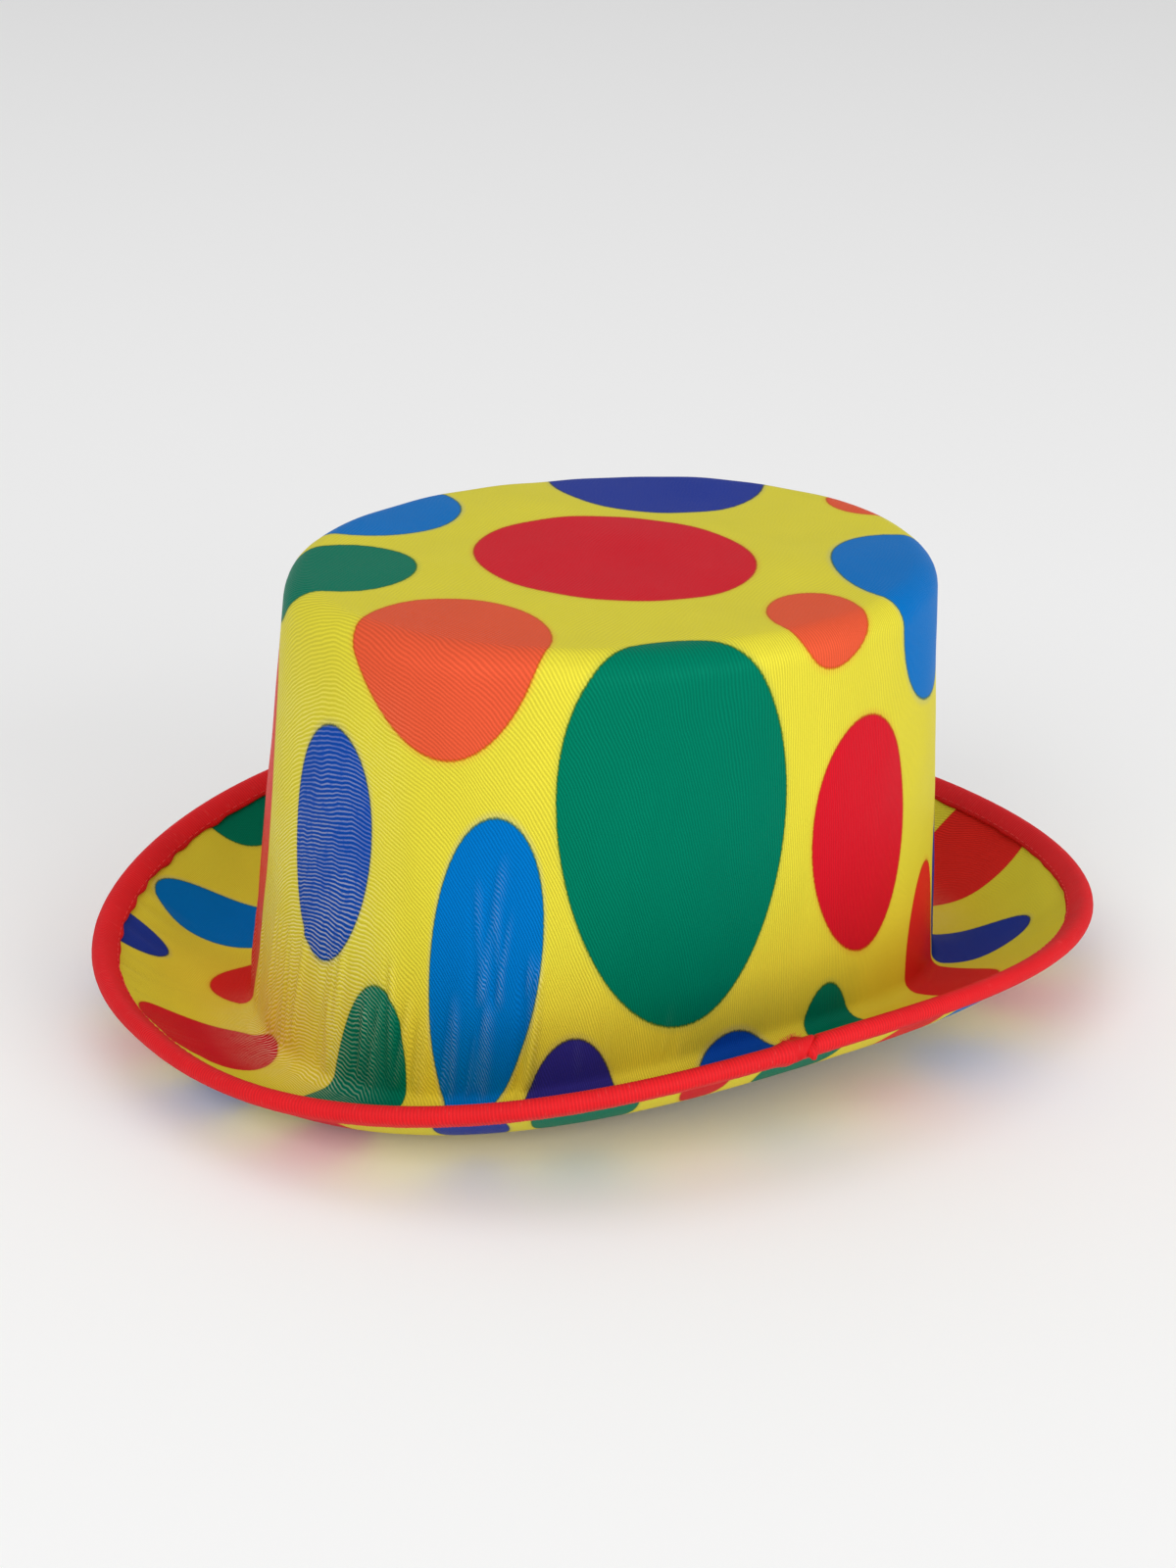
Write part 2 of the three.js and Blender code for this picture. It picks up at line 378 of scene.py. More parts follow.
UNDER_DOTS = [
    (132, 203, 16, 15, 0, "navy"),
    (119.5, 199, 22, 20, 0, "green"),
    (106.5, 197, 17, 9, 0, "crimson"),
    (95.3, 190, 19, 16, 0, "green"),
    (79, 184, 16, 13, 0, "red"),
    (66, 192, 22, 23, 0, "azure"),
    (45, 204, 24, 23, 0, "crimson"),
    (24, 212, 23, 24, 0, "purple"),
    (3, 206, 22, 22, 0, "green"),
    (341, 214, 24, 23, 0, "orange"),
    (321, 202, 22, 21, 0, "azure"),
    (299, 190, 22, 22, 0, "red"),
    (278, 180, 23, 22, 0, "navy"),
    (257, 186, 22, 21, 0, "green"),
    (236, 198, 23, 23, 0, "crimson"),
    (216, 207, 22, 22, 0, "azure"),
    (196, 208, 23, 22, 0, "orange"),
    (176, 213, 22, 23, 0, "blue"),
    (154, 205, 22, 21, 0, "crimson"),
    (0, 0, 36, 34, 20, "azure"),
    (60, 78, 24, 26, 0, "crimson"),
    (125, 82, 26, 24, 0, "navy"),
    (190, 86, 25, 26, 0, "orange"),
    (250, 76, 25, 24, 0, "green"),
    (315, 84, 27, 25, 0, "purple"),
    (20, 130, 26, 25, 0, "orange"),
    (50, 134, 23, 24, 0, "green"),
    (88, 126, 26, 27, 0, "azure"),
    (120, 140, 23, 22, 0, "red"),
    (155, 138, 27, 26, 0, "green"),
    (186, 146, 22, 23, 0, "purple"),
    (218, 138, 26, 24, 0, "crimson"),
    (250, 128, 24, 24, 0, "blue"),
    (285, 126, 26, 27, 0, "orange"),
    (318, 140, 23, 24, 0, "crimson"),
    (350, 146, 24, 23, 0, "azure"),
]
print("dots charted:", len(OUTER_DOTS), "outside and", len(UNDER_DOTS), "inside")


# %% Distance to the nearest dot
def linear(colour):
    """Blender's own colour values from the everyday 0 to 255 ones."""
    share = np.array(colour) / 255
    return np.where(share <= 0.04045, share / 12.92, ((share + 0.055) / 1.055) ** 2.4)


def print_dots(flat, chart):
    """Distance in mm to the nearest dot's edge, negative inside it, and that dot's ink."""
    nearest = np.full(flat.shape[:-1], 1000.0)
    ink = np.ones(flat.shape[:-1] + (4,))
    for direction, reach, half_out, half_across, turned, name in chart:
        angle = math.radians(direction)
        outward = math.pi / 2 - angle + math.radians(turned)
        offset = flat - reach * np.array([math.sin(angle), math.cos(angle)])
        along = (offset[..., 0] * math.cos(outward) + offset[..., 1] * math.sin(outward)) / half_out
        across = (offset[..., 1] * math.cos(outward) - offset[..., 0] * math.sin(outward)) / half_across
        level = np.maximum(np.hypot(along, across), 0.05)
        steepness = np.hypot(along / half_out, across / half_across) / level
        distance = (level - 1) / np.maximum(steepness, 0.01)
        closer = distance < nearest
        nearest[closer] = distance[closer]
        ink[closer, :3] = linear(INKS[name])
    return nearest, ink


middle_distance = float(print_dots(np.zeros((1, 2)), OUTER_DOTS)[0][0])
print("the middle of the top is", round(middle_distance, 1), "mm from a dot's edge, negative inside it")


# %% [markdown]
# ## Soft irregularities
#
# A pressed sheet is never true. The whole surface wanders by a few tenths of a millimetre, and where
# the mould pulled the cloth hardest, mostly low at the front, it gathered into short upright creases.
# Both are real movements of the mesh, so that they catch the light from every side.

# %% Creases and gentle waves
chance = np.random.default_rng(12)

# length mm, depth mm
WAVES = [(95, 0.22), (61, 0.16), (43, 0.12), (27, 0.07), (19, 0.05)]


def soft_step(values, low, high):
    share = np.clip((values - low) / (high - low), 0, 1)
    return share * share * (3 - 2 * share)


def gentle_waves(flat):
    """Slow, irregular waves of the sheet, in mm."""
    height = np.zeros(flat.shape[:-1])
    for length, depth in WAVES:
        heading = chance.uniform(0, FULL_TURN)
        direction = np.array([math.cos(heading), math.sin(heading)])
        height += depth * np.sin(FULL_TURN * (flat @ direction) / length + chance.uniform(0, FULL_TURN))
    return height


# directions deg from and to, heights mm from and to, how many, depth mm
CREASE_GROUPS = [
    (148, 192, 3, 38, 22, 0.55),
    (129, 147, 1, 40, 13, 0.5),
    (130, 143, 30, 70, 4, 0.35),
    (98, 122, 3, 13, 4, 0.16),
    (196, 226, 4, 32, 10, 0.5),
    (300, 352, 4, 30, 14, 0.4),
]
# turns an angle round the hat into mm along the wall
WALL_RADIUS = 100
# chance ranges: mm above a group's lowest foot, least share of its height, width mm, mm aside per mm up
FOOT_SPREAD = 6
SHORTEST_SHARE = 0.45
CREASE_WIDTHS = (0.75, 1.5)
MOST_LEAN = 0.12
# a shallow groove runs beside each crease, at a share of its depth and some widths to one side
GROOVE_SHARE = 0.55
GROOVE_PLACE = 1.6
FOOT_FADE = 5
HEAD_FADE_BELOW = 6
HEAD_FADE_ABOVE = 4


def crease_depth(turns, points, normals):
    """Short upright creases low on the wall, in mm."""
    depth = np.zeros(points.shape[:-1])
    above_fold = points[..., 2] - fold_line(turns)[None, :, 2]
    upright = 1 - np.abs(normals[..., 2])
    for first, last, low, high, count, deep in CREASE_GROUPS:
        for _ in range(count):
            place = math.radians(chance.uniform(first, last))
            foot = chance.uniform(low, low + FOOT_SPREAD)
            head = foot + chance.uniform(SHORTEST_SHARE, 1) * (high - low)
            width = chance.uniform(*CREASE_WIDTHS)
            lean = chance.uniform(-MOST_LEAN, MOST_LEAN)
            away = (turns - place + math.pi) % FULL_TURN - math.pi
            sideways = away[None, :] * WALL_RADIUS - lean * (above_fold - foot)
            crest = np.exp(-((sideways / width) ** 2))
            groove = GROOVE_SHARE * np.exp(-((sideways / width - GROOVE_PLACE) ** 2))
            begins = soft_step(above_fold, foot - FOOT_FADE, foot)
            ends = 1 - soft_step(above_fold, head - HEAD_FADE_BELOW, head + HEAD_FADE_ABOVE)
            depth += deep * (crest - groove) * (begins * ends) * upright
    return depth


print("creases:", sum(group[4] for group in CREASE_GROUPS), "in", len(CREASE_GROUPS), "groups")


# %% [markdown]
# ## The mesh of the sheet
#
# The outer face takes most of the points, because the print and the creases show there. The inner
# face lies one sheet's thickness behind it with half as many points around. The two faces are joined
# round the rim, under the tape, so the sheet is one closed body as the real one is.
#
# Each point also keeps a few values that the material reads later: how far the ribs stand apart, how
# strongly the cloth is gathered into a crease, and how much painted shade it gets near the fold.

# %% Mesh helpers
def strip(row, next_row):
    """Faces between two closed rows of the same length, facing out of the hat."""
    shifted = np.roll(row, -1)
    next_shifted = np.roll(next_row, -1)
    return np.stack([row, next_row, next_shifted, shifted], axis=-1)


def mesh_object(name, points, quads, triangles):
    """A smooth mesh from points in mm."""
    mesh = bpy.data.meshes.new(name)
    faces = [*quads.tolist(), *triangles.tolist()]
    mesh.from_pydata((points * MM).tolist(), [], faces)
    mesh.polygons.foreach_set("use_smooth", [True] * len(mesh.polygons))
    mesh.update()
    made = bpy.data.objects.new(name, mesh)
    bpy.context.scene.collection.objects.link(made)
    return made


def add_attribute(made, name, kind, values):
    field = {"FLOAT": "value", "FLOAT_VECTOR": "vector", "FLOAT_COLOR": "color"}[kind]
    attribute = made.data.attributes.new(name, kind, "POINT")
    attribute.data.foreach_set(field, np.asarray(values, dtype=np.float32).ravel())


# %% Values for the print at each point
# share, depth in mm below the top where the pull begins, and where it is full
WALL_PULLS = [(0.45, 6, 40), (0.55, 35, 100)]
# how squarely the wall faces the front or the back where the ribs begin to open, and where fully
END_FACING = (0.9, 0.99)
# rows before and after the brim's first one over which the ribs close again
CLOSE_ROWS = (2, 8)
# painted shade near the fold: its largest share, then mm from the fold where it fades and where it ends
MOST_PAINTED_FOLD_SHADE = 0.6
PAINTED_FOLD_SHADE_FROM = 2
PAINTED_FOLD_SHADE_TO = 42


def open_ribs(points, flat, marks):
    """How far the ribs stand apart, 0 to 1: most at the two ends, where the pull ran across them."""
    depth = CROWN_TOP - points[..., 2]
    pulled = np.zeros(depth.shape)
    for share, begins, full in WALL_PULLS:
        pulled += share * soft_step(depth, begins, full)
    first = marks["brim"]
    on_brim = soft_step(np.arange(len(points)), first - CLOSE_ROWS[0], first + CLOSE_ROWS[1])
    outward = unit(flat[marks["edge"]])
    ends = soft_step(np.abs(outward[:, 1]), *END_FACING)
    return pulled * (1 - on_brim[:, None]) * ends[None, :]


def painted_fold_shade_share(points, marks):
    """Painted shade: most at the fold between wall and brim, fading up the wall and out over the brim.
    """
    steps = np.linalg.norm(np.diff(points, axis=0), axis=-1)
    travel = np.concatenate([np.zeros((1, points.shape[1])), np.cumsum(steps, axis=0)])
    from_fold = np.abs(travel - travel[marks["fold"]])
    return MOST_PAINTED_FOLD_SHADE * (1 - soft_step(from_fold, PAINTED_FOLD_SHADE_FROM, PAINTED_FOLD_SHADE_TO))


# %% Build the printed sheet
AROUND = 640
# rows on the top, its edge, the wall and the brim
OUTER_STEPS = (18, 8, 62, 26)
INNER_STEPS = (12, 5, 26, 14)
# the columns stand closer together where the creases are
CLOSER_COLUMNS = 0.38
CREASED_SIDE = math.radians(158)
FULLY_GATHERED = 0.25
CREST_HEIGHT = 0.5
CREST_OPENED = 0.28
INSIDE_OPENED = 0.4
INSIDE_WAVES = 0.5
# mm above the fold where the waves of the inside begin and where they are full
INSIDE_WAVES_REACH = (4, 30)
# rows from the rim over which the relief fades out, so that the tape lies on a true edge
RIM_ROWS = (6, 3)


def sheet_face(count, steps, inside):
    """Points of one face, with the values that the print needs."""
    turns = np.arange(count) * FULL_TURN / count
    turns = turns - CLOSER_COLUMNS * np.sin(turns - CREASED_SIDE)
    points, normals, marks = sheet_sections(turns, steps)
    flat = flat_places(points, marks)
    distance, ink = print_dots(flat, UNDER_DOTS if inside else OUTER_DOTS)
    above_fold = points[..., 2] - fold_line(turns)[None, :, 2]
    opened = open_ribs(points, flat, marks)
    # share of painted shade near the fold, read by the satin material
    painted_fold_shade = painted_fold_shade_share(points, marks)
    if inside:
        points = points - normals * SHEET_THICKNESS
        waves = INSIDE_WAVES * gentle_waves(flat) * soft_step(above_fold, *INSIDE_WAVES_REACH)
        points = points + normals * waves[..., None]
        opened = opened * INSIDE_OPENED
        gathered = np.zeros(opened.shape)
    else:
        rows = len(points)
        kept = 1 - soft_step(np.arange(rows), rows - RIM_ROWS[0], rows - RIM_ROWS[1])
        creases = crease_depth(turns, points, normals)
        gathered = np.minimum(1, np.abs(creases) / FULLY_GATHERED)
        opened = np.minimum(1, opened + CREST_OPENED * np.clip(creases / CREST_HEIGHT, 0, 1))
        relief = gentle_waves(flat) + creases
        points = points + normals * (relief * kept[:, None])[..., None]
    return points, flat, distance, ink, opened, gathered, painted_fold_shade


def join_sheet():
    """Both faces in one closed mesh, with the values that the material reads."""
    outer = sheet_face(AROUND, OUTER_STEPS, False)
    inner = sheet_face(AROUND // 2, INNER_STEPS, True)
    quads = []
    triangles = []
    start = 0
    rims = []
    for face in (outer, inner):
        rows, count = face[0].shape[:2]
        ids = start + 1 + np.arange((rows - 1) * count).reshape(rows - 1, count)
        flip = 1 if face is outer else -1
        for row in range(rows - 2):
            quads.append(strip(ids[row], ids[row + 1])[:, ::flip])
        fan = np.stack([np.full(count, start), ids[0], np.roll(ids[0], -1)], axis=-1)
        triangles.append(fan[:, ::flip])
        rims.append(ids[-1])
        start += 1 + (rows - 1) * count
    outer_rim, inner_rim = rims
    even = outer_rim[0::2]
    odd = outer_rim[1::2]
    next_even = np.roll(even, -1)
    next_inner = np.roll(inner_rim, -1)
    triangles.append(np.stack([even, inner_rim, odd], axis=-1))
    triangles.append(np.stack([odd, inner_rim, next_inner], axis=-1))
    triangles.append(np.stack([odd, next_inner, next_even], axis=-1))

    def merged(index, width):
        parts = []
        for face in (outer, inner):
            values = face[index].reshape(face[index].shape[:2] + (width,))
            parts.append(values[0, :1])
            parts.append(values[1:].reshape(-1, width))
        return np.concatenate(parts)

    sheet = mesh_object("printed_shell", merged(0, 3), np.concatenate(quads), np.concatenate(triangles))
    flat = merged(1, 2)
    cloth = np.concatenate([flat, np.zeros((len(flat), 1))], axis=1)
    add_attribute(sheet, "cloth", "FLOAT_VECTOR", cloth)
    add_attribute(sheet, "dot_edge", "FLOAT", merged(2, 1))
    add_attribute(sheet, "ink", "FLOAT_COLOR", merged(3, 4))
    for index, name in ((4, "opened"), (5, "gathered"), (6, "painted_fold_shade")):
        add_attribute(sheet, name, "FLOAT", merged(index, 1))
    return sheet


printed_shell = join_sheet()
print("sheet:", len(printed_shell.data.vertices), "points,", len(printed_shell.data.polygons), "faces")

# %% [markdown]
# ## Printed satin
#
# The satin has fine raised ribs that cross the cloth slantwise. Where the mould stretched the cloth
# across them they stand apart, and the pale ground yarn shows between as thin wavy lines. The yellow
# was printed over everything but the dots, and a thin line where both inks meet is darker.
#
# A material can read the values stored with the mesh: the flat place of each point gives the ribs,
# and the distance to the nearest dot gives a crisp edge at any zoom. Near the fold between wall and
# brim the yellow is painted golden and the print darker, as painted shade. The gloss is weak and
# partly metallic, because dyed satin threads tint the light that they throw back. The constants stay
# on the shader's own sockets, so that nothing is lost when the material is baked.

# %% Small helpers for materials
class Nodes:
    """Adds nodes to one material and links them in the order in which they are named."""

    def __init__(self, name):
        self.material = bpy.data.materials.new(name)
        self.material.use_nodes = True
        self.tree = self.material.node_tree
        self.shader = self.tree.nodes["Principled BSDF"]

    def link(self, value, socket):
        if isinstance(value, bpy.types.NodeSocket):
            self.tree.links.new(value, socket)
        else:
            socket.default_value = value

    def attribute(self, name, output):
        node = self.tree.nodes.new("ShaderNodeAttribute")
        node.attribute_name = name
        return node.outputs[output]

    def math(self, operation, first, second=0.0, third=0.0):
        node = self.tree.nodes.new("ShaderNodeMath")
        node.operation = operation
        for value, socket in zip((first, second, third), node.inputs):
            self.link(value, socket)
        return node.outputs[0]

    def dot(self, vector, direction):
        node = self.tree.nodes.new("ShaderNodeVectorMath")
        node.operation = "DOT_PRODUCT"
        self.link(vector, node.inputs[0])
        node.inputs[1].default_value = direction
        return node.outputs["Value"]

    def step(self, value, low, high, to_low=0.0, to_high=1.0):
        node = self.tree.nodes.new("ShaderNodeMapRange")
        node.interpolation_type = "SMOOTHSTEP"
        for number, socket in zip((value, low, high, to_low, to_high), node.inputs):
            self.link(number, socket)
        return node.outputs[0]

    def noise(self, vector, scale, detail=2.0, roughness=0.5):
        node = self.tree.nodes.new("ShaderNodeTexNoise")
        self.link(vector, node.inputs["Vector"])
        node.inputs["Scale"].default_value = scale
        node.inputs["Detail"].default_value = detail
        node.inputs["Roughness"].default_value = roughness
        return node.outputs["Fac"]

    def mix(self, share, first, second, blend="MIX"):
        node = self.tree.nodes.new("ShaderNodeMix")
        node.data_type = "RGBA"
        node.blend_type = blend
        self.link(share, node.inputs["Factor"])
        self.link(first, node.inputs[6])
        self.link(second, node.inputs[7])
        return node.outputs[2]

    def squeezed(self, vector, scale):
        node = self.tree.nodes.new("ShaderNodeMapping")
        self.link(vector, node.inputs["Vector"])
        node.inputs["Scale"].default_value = scale
        return node.outputs[0]

    def scaled(self, colour, factor):
        node = self.tree.nodes.new("ShaderNodeVectorMath")
        node.operation = "SCALE"
        self.link(colour, node.inputs[0])
        self.link(factor, node.inputs["Scale"])
        return node.outputs[0]

    def bump(self, height, distance, strength, normal=None):
        node = self.tree.nodes.new("ShaderNodeBump")
        node.inputs["Strength"].default_value = strength
        node.inputs["Distance"].default_value = distance
        self.link(height, node.inputs["Height"])
        if normal is not None:
            self.link(normal, node.inputs["Normal"])
        return node.outputs[0]


def paint(colour):
    return (*[float(value) for value in linear(colour)], 1.0)


# %% Inks on the cloth
YELLOW = (216, 205, 58)
# painted shade: a warmer, deeper yellow laid on near the fold, standing in for shade and warm bounced
# light
PAINTED_SHADE_GOLD = (244, 206, 58)
GROUND_YARN = (234, 230, 200)
# all in mm from a dot's edge, but for the two shares
INK_CREEP = 0.7
HALO_WIDTH = 2.4
HALO_SHARE = 0.2
OVERLAP_SHARE = 0.7


def printed_colour(nodes, cloth):
    """Yellow and dots, with the thin dark line where both inks lie on each other."""
    ink = nodes.attribute("ink", "Color")
    # painted shade: the yellow turns golden near the fold
    yellow = nodes.mix(nodes.attribute("painted_fold_shade", "Fac"), paint(YELLOW), paint(PAINTED_SHADE_GOLD))
    creep = nodes.noise(cloth, 1.6, 2.0)
    edge = nodes.math("MULTIPLY_ADD", creep, INK_CREEP, nodes.attribute("dot_edge", "Fac"))
    halo = nodes.step(edge, 0.3, HALO_WIDTH, HALO_SHARE, 0.0)
    tinted = nodes.mix(halo, yellow, ink)
    colour = nodes.mix(nodes.step(edge, 0.15, 0.6), ink, tinted)
    begins = nodes.step(edge, -0.1, 0.35)
    ends = nodes.step(edge, 0.4, 0.9, OVERLAP_SHARE, 0.0)
    both_inks = nodes.mix(1.0, yellow, ink, "MULTIPLY")
    return nodes.mix(nodes.math("MULTIPLY", begins, ends), colour, both_inks)


print("the printed edge wanders up to", INK_CREEP, "mm from the charted one")


# %% Ribs of the satin
RIBS_CROSS = math.radians(168)
RIB_ACROSS = np.array([math.sin(RIBS_CROSS), math.cos(RIBS_CROSS)])
RIB_PITCH = 0.84
RIB_SWAY = 9
RIB_WAVE = 1.3
RIB_SHIVER = 0.8
LEAST_SHIVER = 0.12
# noise scales, in waves per mm
SWAY_SCALE = 0.02
WAVE_SCALE = 0.12
SHIVER_SCALE = 0.45
# how strongly the pale yarn shows where it shows least and most
YARN_SHARES = (0.24, 0.42)


def satin_ribs(nodes, cloth, gathered):
    """A height from 0 to 1 that runs in slightly wavy lines across the flat cloth."""
    across_rib = (RIB_ACROSS[0], RIB_ACROSS[1], 0)
    place = nodes.dot(cloth, across_rib)
    for scale, size in ((SWAY_SCALE, RIB_SWAY), (WAVE_SCALE, RIB_WAVE)):
        place = nodes.math("MULTIPLY_ADD", nodes.noise(cloth, scale, 1.0), size, place)
    strength = nodes.math("MULTIPLY_ADD", gathered, RIB_SHIVER, LEAST_SHIVER)
    shiver = nodes.math("MULTIPLY", nodes.noise(cloth, SHIVER_SCALE, 1.0), strength)
    phase = nodes.math("MULTIPLY", nodes.math("ADD", place, shiver), FULL_TURN / RIB_PITCH)
    return nodes.math("MULTIPLY_ADD", nodes.math("SINE", phase), 0.5, 0.5)


def ground_yarn_shown(nodes, cloth, rib):
    """How much of the pale ground yarn shows between the ribs, 0 to 1."""
    # lines between the ribs, broken along their length and stronger in some patches
    lines = nodes.step(rib, 0.5, 0.95)
    broken = nodes.step(nodes.noise(cloth, 0.35, 1.0), 0.3, 0.5, 0.55, 1.0)
    patches = nodes.step(nodes.noise(cloth, 0.06, 2.0), 0.32, 0.62, *YARN_SHARES)
    shown = nodes.math("MULTIPLY", nodes.math("MULTIPLY", lines, broken), patches)
    return nodes.math("MULTIPLY", shown, nodes.attribute("opened", "Fac"))


# %% Printed satin
SHADE = 0.75
SHADE_BY_RIB = 0.26
SHADE_BY_FIBRE = 0.16
SHADE_BY_PATCH = 0.08
# painted shade: how much darker the print is at the fold
PAINTED_SHADE_BY_FOLD = -0.16
ROUGHNESS = 0.36
ROUGHNESS_BY_FIBRE = 0.14
ROUGHNESS_BY_RIB = -0.06
RIB_RELIEF = 0.16 * MM
FIBRE_RELIEF = 0.06 * MM
SATIN_IOR = 1.07
SATIN_METALLIC = 0.08


def satin():
    nodes = Nodes("printed_satin")
    cloth = nodes.attribute("cloth", "Vector")
    gathered = nodes.attribute("gathered", "Fac")
    rib = satin_ribs(nodes, cloth, gathered)
    colour = printed_colour(nodes, cloth)
    colour = nodes.mix(ground_yarn_shown(nodes, cloth, rib), colour, paint(GROUND_YARN))

    fibre = nodes.noise(cloth, 2.4, 3.0, 0.7)
    uneven = nodes.noise(cloth, 0.05, 3.0)
    shade = nodes.math("MULTIPLY_ADD", fibre, SHADE_BY_FIBRE, SHADE)
    shade = nodes.math("MULTIPLY_ADD", rib, SHADE_BY_RIB, shade)
    shade = nodes.math("MULTIPLY_ADD", uneven, SHADE_BY_PATCH, shade)
    # painted shade: the whole print darker near the fold between wall and brim
    painted_fold_darkening = nodes.math("MULTIPLY_ADD", nodes.attribute("painted_fold_shade", "Fac"), PAINTED_SHADE_BY_FOLD, 1.0)
    shade = nodes.math("MULTIPLY", shade, painted_fold_darkening)
    nodes.link(nodes.scaled(colour, shade), nodes.shader.inputs["Base Color"])

    rough = nodes.math("MULTIPLY_ADD", rib, ROUGHNESS_BY_RIB, ROUGHNESS)
    rough = nodes.math("MULTIPLY_ADD", fibre, ROUGHNESS_BY_FIBRE, rough)
    nodes.link(rough, nodes.shader.inputs["Roughness"])
    ribs = nodes.bump(rib, RIB_RELIEF, 0.6)
    nodes.link(nodes.bump(fibre, FIBRE_RELIEF, 0.4, ribs), nodes.shader.inputs["Normal"])
    nodes.shader.inputs["IOR"].default_value = SATIN_IOR
    nodes.shader.inputs["Metallic"].default_value = SATIN_METALLIC
    return nodes.material


printed_shell.data.materials.append(satin())
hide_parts("hat_shell")
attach(printed_shell, "root")
print("satin ribs every", RIB_PITCH, "mm of flat cloth")

# %% [markdown]
# ## The folded tape
#
# The tape is a strip of ribbed ribbon, folded in half over the brim's edge. Its ribs run across it,
# a little under a millimetre apart, and its inner edge is slightly ragged where the sewing machine
# wandered. At the join, near the right side, one end laps over the other.
#
# The tape could be a plain tube with bump, but its ribs show on the outline of the hat, so they are
# modelled: one cross section, swept round the rim with three rows of points to each rib.

# %% Places on the brim, measured from the rim
TAPE_END = math.radians(95.8)
TAPE_LAP = 9
TAPE_RAMP = 4
TAPE_RIB_PITCH = 0.9
ROWS_PER_RIB = 3
SMALL_TURN = 0.002
NEAR_RIM_SHARES = np.linspace(0.7, 1, 31)
RIM_STATIONS = 1441


def places_from_rim(turns, from_rim):
    """Points on the brim's upper face that lie given lengths in from the rim, and the way outwards."""
    guides = brim_lines(turns)[2]
    line = np.array([brim_point(guides, share) for share in NEAR_RIM_SHARES])
    steps = np.linalg.norm(np.diff(line, axis=0), axis=-1)
    left = np.concatenate([np.cumsum(steps[::-1], axis=0)[::-1], np.zeros((1, len(turns)))])
    after = np.clip((left > from_rim).sum(axis=0), 1, len(NEAR_RIM_SHARES) - 1)
    near = np.take_along_axis(left, after[None], axis=0)[0]
    far = np.take_along_axis(left, after[None] - 1, axis=0)[0]
    step = NEAR_RIM_SHARES[1] - NEAR_RIM_SHARES[0]
    share = column(NEAR_RIM_SHARES[after - 1] + (far - from_rim) / (far - near) * step)
    return brim_point(guides, share), brim_direction(guides, share)


def tape_base(turns, from_rim):
    """Points, directions towards the rim and directions out of the upper face."""
    points, along = places_from_rim(turns, from_rim)
    before = places_from_rim(turns - SMALL_TURN, from_rim)[0]
    after = places_from_rim(turns + SMALL_TURN, from_rim)[0]
    return points, along, unit(np.cross(after - before, along))


# %% Stations along the tape
def rim_travel():
    """How far the rim runs at each of many turns, in mm, from the tape's free end backwards."""
    turns = np.linspace(0, FULL_TURN, RIM_STATIONS)
    rim = rim_line(TAPE_END + turns)
    steps = np.linalg.norm(np.diff(rim, axis=0), axis=-1)
    return turns, np.concatenate([[0], np.cumsum(steps)])


rim_turns, rim_lengths = rim_travel()
RIM_LENGTH = rim_lengths[-1]
TAPE_LENGTH = RIM_LENGTH + TAPE_LAP
ribs = round(TAPE_LENGTH / TAPE_RIB_PITCH)
tape_travel = np.linspace(0, TAPE_LENGTH, ribs * ROWS_PER_RIB + 1)
print("tape:", round(TAPE_LENGTH), "mm long with", ribs, "ribs")


def tape_travel_to_turn(travel):
    """Travel runs from the hidden start under the lap, round the hat, to the end that lies on top."""
    back = TAPE_LENGTH - travel
    return TAPE_END + np.interp(back % RIM_LENGTH, rim_lengths, rim_turns)


def slow_noise(travel, lengths, size):
    """An irregular line along the tape, in mm."""
    value = np.zeros(travel.shape)
    for length in lengths:
        value += size * np.sin(FULL_TURN * travel / length + chance.uniform(0, FULL_TURN))
    return value / len(lengths)


# %% [markdown]
# ## The join in the tape
#
# The tape's last stretch lies over its start. The start is pressed flat under it, and comes out from
# below the end along a curved crease, because the upper half of the end was pulled further than the
# lower half. The end's upper edge curls up, and a corner of the start hangs out below. Each of these
# is a small change of height, width or travel, which one function names.

# %% Shape of the join
END_PULL = 4.5
# shares of the way round the tape between which the end's slant lies
SLANT_FROM = 0.34
SLANT_TO = 0.6
PRESSED_SHARE = 0.4
LAP_LIFT = 0.62
CURL_LENGTH = 8.5
CURL_WIDTH = 0.8
CURL_HEIGHT = 2.1
CORNER_DROP = 1.7
CORNER_HALF_LENGTH = 1.3
CORNER_PLACE = TAPE_LAP - END_PULL + 1.4
# shares of its height that the tape loses where it lies on top, and at its very end
LAST_FLATTER = 0.25
END_ROUNDING = 0.55
CURL_RAMP = 2.5
CURL_STOP = 1.2
CURL_UNEVEN = 0.3


def end_slant(around):
    """How far the end stops short, at a share of the way round the tape from its upper inner edge."""
    return END_PULL * float(soft_step(around, SLANT_FROM, SLANT_TO))


def tape_lift(travel):
    return LAP_LIFT * soft_step(travel, RIM_LENGTH - TAPE_RAMP, RIM_LENGTH + 0.5)


def tape_fullness(travel, around):
    """The share of its full height that the tape keeps: less under the lap, and a little less on it."""
    shown_from = TAPE_LAP - end_slant(around)
    start = PRESSED_SHARE + (1 - PRESSED_SHARE) * soft_step(travel, shown_from - 0.3, shown_from + 1.4)
    last = 1 - LAST_FLATTER * soft_step(travel, RIM_LENGTH, RIM_LENGTH + 2)
    rounded_end = 1 - END_ROUNDING * soft_step(travel, TAPE_LENGTH - 0.8, TAPE_LENGTH)
    return start * last * rounded_end


def edge_curl(travel):
    start = TAPE_LENGTH - CURL_LENGTH
    begins = soft_step(travel, start, start + CURL_RAMP)
    ends = 1 - soft_step(travel, TAPE_LENGTH - CURL_STOP, TAPE_LENGTH)
    uneven = 1 + CURL_UNEVEN * np.sin(travel * 3.1) * np.sin(travel * 1.7)
    return begins * ends * uneven


def corner_drop(travel):
    return CORNER_DROP * np.exp(-(((travel - CORNER_PLACE) / CORNER_HALF_LENGTH) ** 4))


print("the end is lifted", LAP_LIFT, "mm where it laps over the start")


